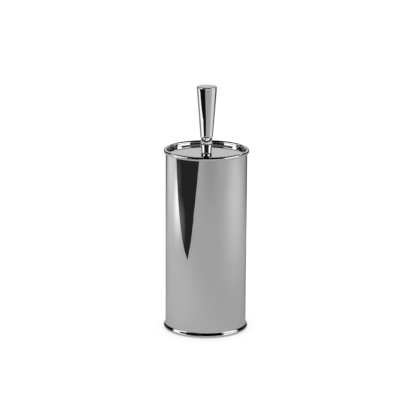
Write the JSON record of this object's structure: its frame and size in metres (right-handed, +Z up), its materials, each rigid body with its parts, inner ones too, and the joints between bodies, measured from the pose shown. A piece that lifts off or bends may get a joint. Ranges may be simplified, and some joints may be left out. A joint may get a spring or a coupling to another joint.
{
  "type": "toilet brush holder",
  "caption": "Free-standing chromed cylinder with a bead at mouth and foot, a sunken lid disc and a flared conical handle; the brush and lid lift out of a removable liner.",
  "frame": {"origin": "middle of the footprint, on the floor", "axes": "+Z up along the holder's axis; the object is round, so +X and +Y are any two level directions"},
  "size_m": [0.1152, 0.1152, 0.3355],
  "materials": {
    "chrome": "mirror-polished chrome plate",
    "steel": "plain machined steel",
    "spring_steel": "dark oiled spring steel",
    "brass": "machined brass",
    "liner": "moulded polypropylene, fine satin",
    "nylon": "natural nylon",
    "core_plastic": "moulded white plastic",
    "bristle": "white nylon filament",
    "rubber": "matt rubber",
    "foam": "closed-cell soft ring"
  },
  "bodies": {
    "holder": {"casing_tube": "chrome", "top_rim": "chrome", "base_ring": "chrome", "base_plate": "steel", "base_pad": "rubber", "liner_cup": "liner"},
    "lid": {"lid_plate": "chrome", "lid_hub": "steel", "lid_skirt": "chrome", "lid_cushion": "foam", "stem_bush": "nylon"},
    "brush": {"grip": "chrome", "grip_cap": "chrome", "rod": "steel", "thrust_washer": "steel", "retaining_clip": "spring_steel", "head_socket": "core_plastic", "thread_insert": "brass", "head_core": "core_plastic", "side_bristles": "bristle", "end_bristles": "bristle"}
  },
  "joints": [
    {"name": "lid_lift", "type": "slide", "parent": "holder", "child": "lid", "axis": [0, 0, 1], "range_m": [0, 0.26]},
    {"name": "brush_turn", "type": "hinge", "parent": "lid", "child": "brush", "pos_m": [0, 0, 0.24], "axis": [0, 0, 1], "continuous": true}
  ]
}
